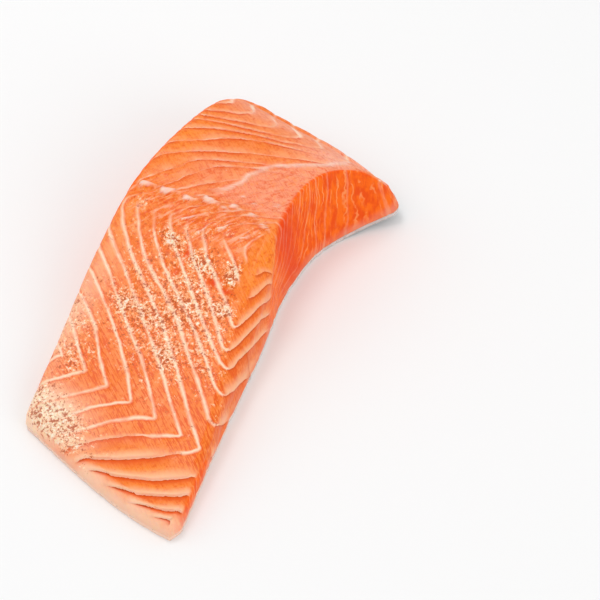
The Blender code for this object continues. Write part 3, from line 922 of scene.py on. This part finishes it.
def cut_wave(share, side, depth):
    long = np.sin(WAVE_LONG[0] * share + WAVE_LONG[1] * depth)
    short = np.sin(WAVE_SHORT[0] * share + WAVE_SHORT[1] * depth + 2.0)
    return side * CUT_WAVE * (long + WAVE_SHORT_SIZE * short)


def resample(points, count):
    """A run of points spread evenly along the line through the given ones."""
    steps = np.linalg.norm(np.diff(points, axis=0), axis=1)
    at = np.concatenate([[0], np.cumsum(steps)])
    wanted = np.linspace(0, at[-1], count)
    return np.stack([np.interp(wanted, at, points[:, k]) for k in range(3)], axis=-1)


def coons(belly, back, left, right):
    """A grid of points spread between four edges, by rows from belly to back."""
    v = np.linspace(0, 1, len(left))[:, None, None]
    u = np.linspace(0, 1, len(belly))[None, :, None]
    across = (1 - u) * left[:, None] + u * right[:, None]
    along = (1 - v) * belly[None] + v * back[None]
    corners = (1 - v) * ((1 - u) * left[0] + u * right[0]) + v * ((1 - u) * left[-1] + u * right[-1])
    return across + along - corners


# Skin mesh
SKIN_COLUMNS = 130
SCALE_LONG, SCALE_WIDE = 2.9, 3.2  # scales, along the fish and across it
SCALE_REACH = (0.6, 1.15)  # half the size of a scale, which covers its neighbours' edges
SCALE_JITTER, SCALE_WANDER = 0.24, 0.6
SCALE_VARIETY, SCALE_TILT = 0.2, 0.4
SCALE_RELIEF = 0.3


def scale_height(x, y):
    """Height of the crowded scales, from 0 in the gaps between them to 1."""
    x = x + SCALE_WANDER * uneven("scales along", x, y)
    y = y + SCALE_WANDER * uneven("scales across", x, y)
    along, row = x / SCALE_LONG, y / SCALE_WIDE * 2
    best = np.zeros_like(x)
    for step in (-1, 0, 1):
        line = np.floor(row) + step
        shifted = along + 0.5 * (line % 2)
        for ahead in (-1, 0, 1):
            cell = np.floor(shifted) + ahead
            at = (line % LATTICE).astype(int), (cell % LATTICE).astype(int)
            u = shifted - cell - 0.5 - SCALE_JITTER * lattice(62)[at]
            v = row - line - 0.5 - 1.6 * SCALE_JITTER * lattice(63)[at]
            dome = 1 - (u / SCALE_REACH[0]) ** 2 - (v / SCALE_REACH[1]) ** 2
            dome = (1 + SCALE_VARIETY * lattice(65)[at]) * dome
            best = np.maximum(best, dome - SCALE_TILT * u)
    return np.clip(best, 0, 1)


def make_skin(material, ring, belly, sides):
    """The skin under the flesh, its scales in relief on the lower face."""
    belly_edge = np.vstack([ring[-1:], ring[:belly], ring[belly : belly + 1]])
    back_edge = ring[belly + sides - 1 : len(ring) - sides + 1][::-1]
    right = ring[belly : belly + sides]
    left = ring[len(ring) - sides :][::-1]
    grid = coons(resample(belly_edge, SKIN_COLUMNS), resample(back_edge, SKIN_COLUMNS), left, right)
    rows, columns = grid.shape[:2]
    flat = grid.reshape(-1, 3)
    at = np.arange(rows * columns).reshape(rows, columns)
    border = np.concatenate([at[0], at[1:-1, -1], at[-1, ::-1], at[-2:0:-1, 0]])
    edge = np.zeros(rows * columns, bool)
    edge[border] = True
    shown = scale_height(flat[:, 0], flat[:, 1])
    scales = np.where(edge, 0.0, SCALE_RELIEF * (1 - shown))
    mesh = Mesh("edge", "scale")
    face = flat - (0, 0, GAP + SKIN)
    face[:, 2] += scales
    lower = mesh.add(face, edge=edge, scale=shown)
    mesh.fill_grid(lower.reshape(rows, columns), upward=False)
    upper = mesh.add(flat[border] - (0, 0, GAP), edge=1.0, scale=1.0)
    mesh.join(upper, lower[border])
    mesh.fill_strips(upper, columns, rows - 2, upward=True)
    return mesh.to_object("salmon_skin", frame_shift(), material, SKIN_SHARP)


# Materials


def srgb(red, green, blue):
    """A colour of 0 to 255 in each channel as Blender's linear colour."""

    def linear(value):
        value /= 255
        return value / 12.92 if value <= 0.04045 else ((value + 0.055) / 1.055) ** 2.4

    return (linear(red), linear(green), linear(blue), 1.0)


# Places of the colour sockets on a Mix node, whose names repeat
MIX_FIRST, MIX_SECOND, MIX_RESULT = 6, 7, 2


class Nodes:
    """Short ways to add nodes to one tree. Each returns the socket that the next one takes."""

    def __init__(self, tree):
        self.tree = tree

    def add(self, kind, **settings):
        node = self.tree.nodes.new(kind)
        for name, value in settings.items():
            setattr(node, name, value)
        return node

    def feed(self, node, given):
        """Links or sets a node's inputs by their names."""
        for name, value in given.items():
            if isinstance(value, bpy.types.NodeSocket):
                self.tree.links.new(value, node.inputs[name])
            else:
                node.inputs[name].default_value = value

    def math(self, operation, *values):
        node = self.add("ShaderNodeMath", operation=operation)
        self.feed(node, dict(enumerate(values)))
        return node.outputs[0]

    def times(self, first, *others):
        for value in others:
            first = self.math("MULTIPLY", first, value)
        return first

    def plus(self, first, second):
        return self.math("ADD", first, second)

    def minus(self, first, second):
        return self.math("SUBTRACT", first, second)

    def larger(self, first, second):
        return self.math("MAXIMUM", first, second)

    def ramp(self, value, low, high, start=0.0, end=1.0):
        """start where value is low and end where it is high, smooth between."""
        node = self.add("ShaderNodeMapRange", interpolation_type="SMOOTHSTEP")
        self.feed(node, {"Value": value, "From Min": low, "From Max": high, "To Min": start, "To Max": end})
        return node.outputs["Result"]

    def mix(self, share, first, second):
        node = self.add("ShaderNodeMix", data_type="RGBA")
        self.feed(node, {"Factor": share, MIX_FIRST: first, MIX_SECOND: second})
        return node.outputs[MIX_RESULT]

    def tint(self, colour, tone, *shares):
        """The colour mixed towards tone by the product of the shares."""
        return self.mix(self.times(*shares), colour, tone)

    def field(self, name):
        return self.add("ShaderNodeAttribute", attribute_name=name).outputs["Fac"]

    def place(self):
        return self.add("ShaderNodeTexCoord").outputs["Object"]

    def stretched(self, vector, turn, scale):
        """A vector turned about +Z by degrees and scaled, for grain that runs one way."""
        node = self.add("ShaderNodeMapping", vector_type="TEXTURE")
        self.feed(node, {"Rotation": (0, 0, math.radians(turn)), "Scale": scale, "Vector": vector})
        return node.outputs[0]

    def noise(self, vector, scale, detail=3.0, roughness=0.55, distortion=0.0):
        node = self.add("ShaderNodeTexNoise")
        given = {"Vector": vector, "Scale": scale, "Detail": detail}
        self.feed(node, given | {"Roughness": roughness, "Distortion": distortion})
        return node.outputs["Fac"]

    def bump(self, height, depth):
        node = self.add("ShaderNodeBump")
        self.feed(node, {"Height": height, "Strength": 1.0, "Distance": depth})
        return node.outputs[0]


def new_material(name):
    material = bpy.data.materials.new(name)
    material.use_nodes = True
    shader = material.node_tree.nodes["Principled BSDF"]
    return material, Nodes(material.node_tree), shader


def wet_film_group():
    """Fine unevenness of a wet surface: a height for the bump and a share of gloss."""
    group = bpy.data.node_groups.new("wet film", "ShaderNodeTree")
    group.interface.new_socket("Place", in_out="INPUT", socket_type="NodeSocketVector")
    group.interface.new_socket("Grain", in_out="INPUT", socket_type="NodeSocketFloat")
    group.interface.new_socket("Height", in_out="OUTPUT", socket_type="NodeSocketFloat")
    group.interface.new_socket("Gloss", in_out="OUTPUT", socket_type="NodeSocketFloat")
    nodes = Nodes(group)
    given = nodes.add("NodeGroupInput").outputs
    fine = nodes.noise(given["Place"], 1500.0, detail=2.0, roughness=0.6)
    broad = nodes.noise(given["Place"], 260.0)
    grain = nodes.times(nodes.ramp(fine, 0.25, 0.75), given["Grain"])
    height = nodes.math("MULTIPLY_ADD", broad, 0.35, grain)
    nodes.feed(nodes.add("NodeGroupOutput"), {"Height": height, "Gloss": nodes.ramp(broad, 0.35, 0.65)})
    return group


FLESH = srgb(242, 123, 34)
FLESH_DEEP = srgb(230, 86, 10)
FLESH_PALE = srgb(252, 148, 82)
FLESH_PINK = srgb(253, 182, 162)
FLESH_GLOW = srgb(254, 144, 44)
CUT_FLESH = srgb(255, 112, 10)
CUT_DEEP = srgb(232, 64, 2)
CUT_LINE = srgb(255, 152, 88)
CUT_PINK = srgb(240, 140, 112)
SEAM_FAT = srgb(255, 202, 168)
# painted highlight along the middle of the seams' fat
SEAM_CORE_HIGHLIGHT = srgb(255, 226, 202)
# pale fat of the tiles' lips, brightened as a painted highlight
LIP_FAT_AND_HIGHLIGHT = srgb(255, 190, 148)
# painted shade in the crevices between tiles and the grooves of the flank
CREVICE_SHADE = srgb(212, 80, 6)
# pale fat of the belly's rim, also used for painted sheen
BELLY_FAT_AND_SHEEN = srgb(255, 213, 182)
TORN_FAT = srgb(255, 174, 138)
FLAP_FAT = srgb(255, 226, 212)
# painted glints on moist flesh, and the painted shade between them
PALE_GLINT = srgb(255, 222, 180)
WHITE_GLINT = srgb(255, 244, 226)
GLINT_SHADE = srgb(180, 76, 24)
FIBRE_TURN = -36.0  # of the fibres in whole flakes, in degrees
LINES_BETWEEN = 3.0  # fine lines on the cut from a seam to the next


def muscle_colour(nodes, where, place):
    """Orange muscle with pinkish and yellowish areas, the pinkish ones partly a painted sheen, painted shade
    in the gaps between flakes, and fine fibres across the flakes.
    """
    broad = nodes.noise(where, 90.0, detail=4.0)
    colour = nodes.mix(nodes.ramp(broad, 0.4, 0.7, 0.0, 0.7), FLESH, FLESH_PALE)
    colour = nodes.tint(colour, FLESH_GLOW, nodes.field("glow"), 0.8)
    # pinkish flesh and pale sheet, with a painted sheen on the loin, the crest and the belly's corner
    colour = nodes.tint(colour, FLESH_PINK, nodes.field("blush"), 0.8)
    mottle = nodes.noise(where, 700.0, roughness=0.65)
    colour = nodes.tint(colour, FLESH_PALE, nodes.ramp(mottle, 0.5, 0.66, 0.0, 0.6))
    colour = nodes.tint(colour, FLESH_DEEP, nodes.ramp(mottle, 0.5, 0.35, 0.0, 0.6))
    along = nodes.stretched(where, FIBRE_TURN, (0.0036, 0.0004, 0.0036))
    fibres = nodes.noise(along, 1.0, detail=1.0, roughness=0.6)
    shown = nodes.ramp(nodes.field("tile"), 0.1, 0.9, 1.0, 0.35)
    shown = nodes.times(nodes.ramp(place, 6.0, -34.0, 0.3, 0.85), shown)
    colour = nodes.tint(colour, FLESH_DEEP, nodes.ramp(fibres, 0.51, 0.6), shown)
    colour = nodes.tint(colour, FLESH_PALE, nodes.ramp(fibres, 0.46, 0.34, 0.0, 0.3))
    # painted shade in the gaps where the flakes gape
    colour = nodes.tint(colour, CUT_DEEP, nodes.field("deep"), 0.9)
    bent = nodes.stretched(where, TORN_TURN, (0.006, 0.0012, 0.003))
    streaks = nodes.noise(bent, 1.0, roughness=0.6, distortion=0.5)
    torn = nodes.field("torn")
    colour = nodes.tint(colour, FLESH_DEEP, nodes.ramp(streaks, 0.5, 0.36), torn)
    return nodes.tint(colour, TORN_FAT, nodes.ramp(streaks, 0.53, 0.64, 0.0, 0.85), torn), fibres


def cut_colour(nodes, where, line):
    """Deep orange muscle cut across, with fine pale lines between the seams and pink fat by the skin."""
    grain = nodes.noise(nodes.stretched(where, 0.0, (0.0022, 0.0022, 0.006)), 1.0, detail=4.0, roughness=0.6)
    colour = nodes.mix(nodes.ramp(grain, 0.36, 0.62, 0.3, 1.0), CUT_DEEP, CUT_FLESH)
    deep = nodes.field("deep")
    colour = nodes.tint(colour, CUT_DEEP, deep, 0.9)
    bent = nodes.math("MULTIPLY_ADD", nodes.noise(where, 220.0, detail=2.0), 0.5, line)
    part = nodes.math("FRACT", nodes.times(bent, LINES_BETWEEN))
    middle = nodes.math("ABSOLUTE", nodes.minus(part, 0.5))
    shown = nodes.ramp(nodes.noise(where, 170.0, detail=2.0), 0.38, 0.58, 0.1, 0.9)
    lines = nodes.times(nodes.ramp(middle, 0.34, 0.47), shown, nodes.minus(1.0, deep))
    colour = nodes.tint(colour, CUT_LINE, lines)
    patchy = nodes.ramp(nodes.noise(where, 130.0, detail=2.0), 0.35, 0.65, 0.3, 0.9)
    return nodes.tint(colour, CUT_PINK, nodes.field("under"), patchy)


def flake_shade(nodes, colour, part, tile, flank):
    """Painted shade in the flakes that overlap or turn back on the flank, and their pale lips: fat with a
    painted highlight where they round over.
    """
    # painted shade, darkest just after each crevice of the tiles and towards the seams on the flank
    deep = nodes.times(nodes.ramp(part, 0.6, 0.0), tile)
    deep = nodes.larger(deep, nodes.times(nodes.ramp(part, 0.4, 1.0, 0.0, 0.8), flank))
    colour = nodes.tint(colour, FLESH_DEEP, deep, 0.85)
    # pale lip: fat, and a painted highlight where the flake rounds over
    lip = nodes.times(nodes.ramp(part, 0.45, 0.96), tile)
    lip = nodes.larger(lip, nodes.times(nodes.ramp(part, 0.6, 0.05, 0.0, 0.9), flank))
    return nodes.tint(colour, LIP_FAT_AND_HIGHLIGHT, lip, 0.95)


def seam_fat(nodes, colour, where, place, part, tile, flank, cut):
    """White fat on the seams, only on the lip where the flakes overlap, with a painted highlight along its
    middle, painted shade beside it, and painted shade in the crevices and grooves.
    """
    on_top = nodes.minus(1.0, cut)
    spacing, line = nodes.field("spacing"), nodes.field("line")
    after = nodes.times(part, spacing)
    before = nodes.minus(spacing, after)
    from_seam = nodes.math("MINIMUM", after, before)
    half = nodes.plus(nodes.ramp(place, 10.0, 22.0, 0.55, 0.3), nodes.ramp(place, 55.0, 63.0, 0.0, 0.45))
    half = nodes.times(half, nodes.ramp(nodes.noise(where, 120.0, detail=1.0), 0.3, 0.7, 0.8, 1.2))
    lipped = nodes.times(nodes.ramp(tile, 0.1, 0.3), nodes.minus(before, from_seam))
    turned = nodes.times(nodes.ramp(flank, 0.2, 0.5), nodes.minus(after, from_seam))
    off_seam = nodes.plus(from_seam, nodes.plus(lipped, turned))
    broken = nodes.ramp(nodes.noise(where, 160.0, detail=2.0), 0.34, 0.55, 0.5, 1.0)
    fat = nodes.ramp(off_seam, nodes.times(half, 1.65), nodes.times(half, 0.3))
    fat = nodes.times(fat, broken, line, nodes.ramp(cut, 0.0, 1.0, 1.0, 0.22))
    fat = nodes.times(fat, nodes.ramp(tile, 0.0, 0.3, 1.0, 0.55), nodes.ramp(flank, 0.5, 1.0, 1.0, 0.25))
    # painted shade just after each seam on the top
    shade = nodes.times(nodes.ramp(after, 1.5, 0.6, 0.0, 0.6), nodes.minus(on_top, flank), line)
    colour = nodes.tint(colour, FLESH_DEEP, shade)
    colour = nodes.tint(colour, SEAM_FAT, fat)
    # painted highlight along the middle of the fat
    colour = nodes.tint(colour, SEAM_CORE_HIGHLIGHT, nodes.ramp(off_seam, 0.3, 0.05, 0.0, 0.5), fat, on_top)
    # painted shade in the crevices of the tiles and the grooves of the flank
    crevice = nodes.times(nodes.ramp(after, 0.7, 0.25), nodes.ramp(tile, 0.1, 0.8))
    groove = nodes.times(nodes.ramp(before, 0.8, 0.25), nodes.ramp(flank, 0.0, 0.6, 0.0, 0.85))
    return nodes.tint(colour, CREVICE_SHADE, nodes.larger(crevice, groove), 0.85)


def paint_glints(nodes, colour, where, moist):
    """Painted glints, pale and white, with painted shade between them, where the flesh is moist."""
    fine = nodes.noise(where, 1450.0, detail=1.0, roughness=0.6, distortion=0.8)
    coarse = nodes.noise(where, 700.0, detail=2.0, roughness=0.65, distortion=0.5)
    speck = nodes.math("MULTIPLY_ADD", fine, 0.5, nodes.times(coarse, 0.5))
    bright = nodes.math("MULTIPLY_ADD", moist, 0.13, speck)
    dim = nodes.math("MULTIPLY_ADD", moist, -0.1, speck)
    some = nodes.ramp(moist, 0.0, 0.12)
    for value, low, high, most, tone in (
        (bright, 0.57, 0.66, 0.56, PALE_GLINT),
        (bright, 0.66, 0.73, 0.8, WHITE_GLINT),
        (dim, 0.41, 0.32, 0.8, GLINT_SHADE),
    ):
        colour = nodes.tint(colour, tone, nodes.ramp(value, low, high), some, most)
    return colour


def flesh_material(wet_film):
    """Orange muscle in flakes, pale fat on the seams, fine fibres and a wet film, with painted glints,
    highlights, sheen and shade.
    """
    material, nodes, shader = new_material("salmon flesh")
    where = nodes.place()
    place, cut, moist = nodes.field("place"), nodes.field("cut"), nodes.field("moist")
    on_top = nodes.minus(1.0, cut)
    tile, flank = nodes.times(nodes.field("tile"), on_top), nodes.times(nodes.field("flank"), on_top)
    wobble = nodes.times(nodes.minus(nodes.noise(where, 900.0, detail=2.0), 0.5), 0.5)
    line = nodes.plus(nodes.field("seam"), nodes.math("DIVIDE", wobble, nodes.field("spacing")))
    part = nodes.math("FRACT", line)

    colour, fibres = muscle_colour(nodes, where, place)
    colour = nodes.mix(cut, colour, cut_colour(nodes, where, line))
    colour = flake_shade(nodes, colour, part, tile, flank)
    # pale fat of the belly's rim, and a painted sheen in the same colour
    colour = nodes.tint(colour, BELLY_FAT_AND_SHEEN, nodes.field("rim"), 0.8)
    colour = seam_fat(nodes, colour, where, place, part, tile, flank, cut)
    colour = nodes.tint(colour, FLAP_FAT, nodes.field("pale"), 0.75)
    colour = paint_glints(nodes, colour, where, moist)

    film = nodes.add("ShaderNodeGroup", node_tree=wet_film)
    nodes.feed(film, {"Place": where, "Grain": nodes.math("MULTIPLY_ADD", moist, 1.2, 0.1)})
    height = nodes.math("MULTIPLY_ADD", fibres, 0.5, film.outputs["Height"])
    rough = nodes.minus(nodes.ramp(film.outputs["Gloss"], 0.0, 1.0, 0.5, 0.38), nodes.times(moist, 0.18))
    given = {
        "Base Color": colour,
        "Roughness": nodes.math("MULTIPLY_ADD", cut, 0.1, rough),
        "Normal": nodes.bump(height, 0.14 * MM),
        "IOR": 1.4,
        "Specular IOR Level": 0.2,
        "Subsurface Weight": 0.25,
        "Subsurface Radius": (1.0, 0.35, 0.15),
        "Subsurface Scale": 1.6 * MM,
        "Coat Weight": nodes.times(on_top, 0.14),
        "Coat Roughness": 0.15,
    }
    nodes.feed(shader, given)
    return material


SKIN_BLACK_AND_SHADOW = srgb(34, 34, 40)
SKIN_GREY = srgb(120, 122, 126)
SKIN_SILVER = srgb(196, 192, 190)
SKIN_PINK = srgb(222, 190, 178)
# pale cut edge of the skin, partly painted light that offsets its shade by the floor
SKIN_EDGE = srgb(236, 224, 218)
SKIN_EDGE_BELLY = srgb(252, 208, 184)


def skin_material(wet_film):
    """Scaled skin, dark on the back and silver to pinkish on the belly, with painted shade on the scales and
    painted shadow in the gaps between them, and a pale cut edge with painted light against its shade.
    """
    material, nodes, shader = new_material("salmon skin")
    where = nodes.place()
    axes = nodes.add("ShaderNodeSeparateXYZ")
    nodes.feed(axes, {0: where})
    blotch = nodes.noise(nodes.stretched(where, 0.0, (0.006, 0.0035, 0.004)), 1.0)
    fade = nodes.plus(axes.outputs["Y"], nodes.times(nodes.minus(blotch, 0.5), 0.09))
    colour = nodes.mix(nodes.ramp(fade, -0.06, -0.02), SKIN_PINK, SKIN_SILVER)
    colour = nodes.tint(colour, SKIN_GREY, nodes.ramp(fade, 0.0, 0.08, 0.0, 0.8))
    ragged = nodes.times(nodes.minus(nodes.noise(where, 230.0, detail=4.0), 0.5), 1.1)
    shown = nodes.plus(nodes.field("scale"), ragged)
    low = nodes.ramp(fade, -0.055, 0.055, 0.12, 0.58)
    mottle = nodes.ramp(nodes.noise(where, 900.0, roughness=0.6), 0.3, 0.7, 0.0, 0.5)
    # painted shade on each scale, darker towards the gaps
    shade = nodes.times(nodes.ramp(shown, 1.1, low), nodes.plus(mottle, 0.3))
    colour = nodes.tint(colour, SKIN_GREY, shade)
    # black: the back's dark skin, and painted shadow in the gaps between the scales
    colour = nodes.mix(nodes.ramp(shown, low, nodes.plus(low, 0.26)), SKIN_BLACK_AND_SHADOW, colour)
    # pale cut edge, partly painted light that offsets the shade beside the floor
    edge = nodes.mix(nodes.ramp(fade, -0.06, -0.01), SKIN_EDGE_BELLY, SKIN_EDGE)
    at_edge = nodes.times(nodes.field("edge"), nodes.ramp(fade, 0.09, 0.0, 0.55, 1.0))
    film = nodes.add("ShaderNodeGroup", node_tree=wet_film)
    nodes.feed(film, {"Place": where, "Grain": 0.3})
    given = {
        "Base Color": nodes.mix(at_edge, colour, edge),
        "Roughness": nodes.ramp(film.outputs["Gloss"], 0.0, 1.0, 0.4, 0.25),
        "Normal": nodes.bump(film.outputs["Height"], 0.08 * MM),
        "Metallic": 0.25,
        "Coat Weight": 0.4,
        "Coat Roughness": 0.15,
    }
    nodes.feed(shader, given)
    return material


# Stage, light and camera

FLOOR_SIZE = 6.0
FLOOR_DROP = 0.05 * MM
# Lights: azimuth and elevation in degrees, distance and size in metres, and power in watts
LIGHTS = {
    "overhead": (-110.0, 70.0, 0.9, 0.35, 1.7),
    "left fill": (-70.0, 35.0, 1.2, 0.8, 1.0),
    "right fill": (75.0, 28.0, 1.2, 0.8, 2.6),
}
LIGHT_AIM = Vector((0, 0, 0.01))
WORLD_STRENGTH = 0.78
CAMERA_AIM = Vector((0.0237, 0.0222, 0.0))
CAMERA_AZIMUTH, CAMERA_ELEVATION, CAMERA_AWAY = 28.0, 50.0, 0.75
CAMERA_LENS, CAMERA_SENSOR = 144.0, 36.0


def toward(azimuth, elevation):
    """The way from the object to something seen at these angles. Azimuth 0 is on the -Y side."""
    a, e = math.radians(azimuth), math.radians(elevation)
    return Vector((math.sin(a) * math.cos(e), -math.cos(a) * math.cos(e), math.sin(e)))


def place_looking(obj, way, distance, target):
    obj.location = target + way * distance
    obj.rotation_mode = "QUATERNION"
    obj.rotation_quaternion = (-way).to_track_quat("-Z", "Y")


def place_in_scene(name, data):
    obj = bpy.data.objects.new(name, data)
    bpy.context.scene.collection.objects.link(obj)
    return obj


def make_floor():
    material, nodes, shader = new_material("pale floor")
    nodes.feed(shader, {"Base Color": (0.9, 0.9, 0.9, 1), "Roughness": 0.9, "Specular IOR Level": 0.1})
    bpy.ops.mesh.primitive_plane_add(size=FLOOR_SIZE, location=(0, 0, -FLOOR_DROP))
    floor = bpy.context.object
    floor.name = "floor"
    floor.data.materials.append(material)


def make_lights():
    for name, (azimuth, elevation, distance, size, power) in LIGHTS.items():
        data = bpy.data.lights.new(name, "AREA")
        data.shape = "DISK"
        data.size = size
        data.energy = power
        place_looking(place_in_scene(name, data), toward(azimuth, elevation), distance, LIGHT_AIM)


def make_camera():
    data = bpy.data.cameras.new("camera")
    data.sensor_width = CAMERA_SENSOR
    data.lens = CAMERA_LENS
    data.clip_start, data.clip_end = 0.05, 20.0
    camera = place_in_scene("camera", data)
    place_looking(camera, toward(CAMERA_AZIMUTH, CAMERA_ELEVATION), CAMERA_AWAY, CAMERA_AIM)
    bpy.context.scene.camera = camera


def make_world():
    world = bpy.data.worlds.new("studio")
    world.use_nodes = True
    background = world.node_tree.nodes["Background"]
    background.inputs["Color"].default_value = (1, 1, 1, 1)
    background.inputs["Strength"].default_value = WORLD_STRENGTH
    bpy.context.scene.world = world
    bpy.context.scene.view_settings.view_transform = "Standard"


def frame_shift():
    """From the stations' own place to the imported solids'."""
    low, high = (np.array(corner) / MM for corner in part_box("skin"))
    return np.array([*((low + high) / 2)[:2] - OUTLINE_MIDDLE, 0.0])


def main():
    make_camera()
    make_world()
    make_floor()
    make_lights()
    wet_film = wet_film_group()
    flesh, below, belly, sides = make_flesh(flesh_material(wet_film))
    skin = make_skin(skin_material(wet_film), below, belly, sides)
    for piece, node in ((flesh, "flesh"), (skin, "skin")):
        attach(piece, "root")
        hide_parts(node)


main()
